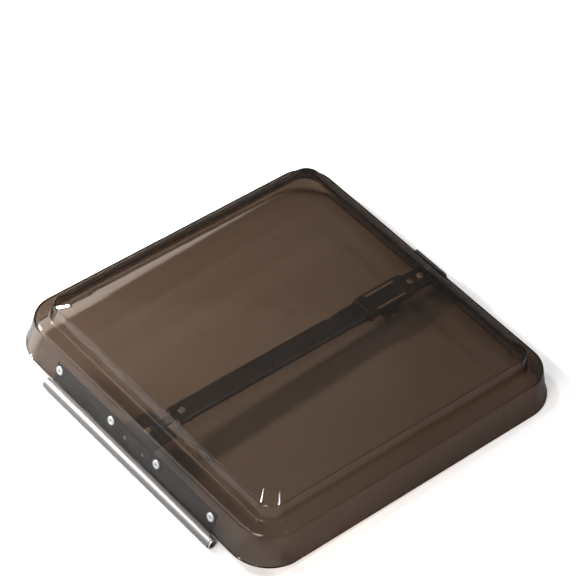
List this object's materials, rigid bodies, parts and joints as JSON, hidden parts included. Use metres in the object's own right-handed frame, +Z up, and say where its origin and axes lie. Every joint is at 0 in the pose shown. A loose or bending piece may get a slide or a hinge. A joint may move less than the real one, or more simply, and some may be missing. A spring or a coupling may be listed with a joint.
{
  "type": "roof vent cover",
  "caption": "Square domed smoke-plastic roof vent lid with a rolled steel hinge along its edge, and inside it a support bar with a sliding carriage for the lift arm.",
  "frame": {"origin": "middle of the hinge tube's bore, which is the axis that the lid turns on", "axes": "+X along the hinge axis, +Y across the lid from the hinge to the front, +Z up, with the lid closed"},
  "size_m": [0.4, 0.4086, 0.0942],
  "materials": {
    "smoke_polycarbonate": "gloss",
    "galvanised_steel": "zinc spangle",
    "mill_aluminium": "drawn",
    "rivet_aluminium": "satin",
    "mandrel_steel": "sheared",
    "natural_nylon": "satin",
    "zinc_plated_steel": "bright zinc",
    "black_painted_steel": "satin black"
  },
  "bodies": {
    "tube": {"hinge_tube": "mill_aluminium"},
    "lid": {"lid_shell": "smoke_polycarbonate", "hinge_leaf": "galvanised_steel", "hinge_bracket": "galvanised_steel", "support_bar": "galvanised_steel", "front_bracket": "galvanised_steel", "hinge_rivets": "rivet_aluminium", "front_rivets": "rivet_aluminium", "hinge_bracket_rivets": "rivet_aluminium", "tongue_rivet": "rivet_aluminium", "bar_stop_rivet": "rivet_aluminium", "bar_front_rivets": "rivet_aluminium", "hinge_rivet_mandrels": "mandrel_steel", "front_rivet_mandrels": "mandrel_steel", "front_plate": "black_painted_steel"},
    "carriage": {"lift_slide": "galvanised_steel", "slide_liners": "natural_nylon", "lift_pin": "zinc_plated_steel", "lift_pin_clip": "zinc_plated_steel"},
    "roller": {"lift_roller": "natural_nylon"}
  },
  "joints": [
    {"name": "lid_hinge", "type": "hinge", "parent": "tube", "child": "lid", "pos_m": [0, 0, 0], "axis": [1, 0, 0], "range_deg": [0, 75]},
    {"name": "lift_slide_travel", "type": "slide", "parent": "lid", "child": "carriage", "axis": [0, -1, 0], "range_m": [0, 0.2315]},
    {"name": "lift_roller_spin", "type": "hinge", "parent": "carriage", "child": "roller", "pos_m": [0, 0.3331, 0.0147], "axis": [1, 0, 0], "continuous": true}
  ]
}
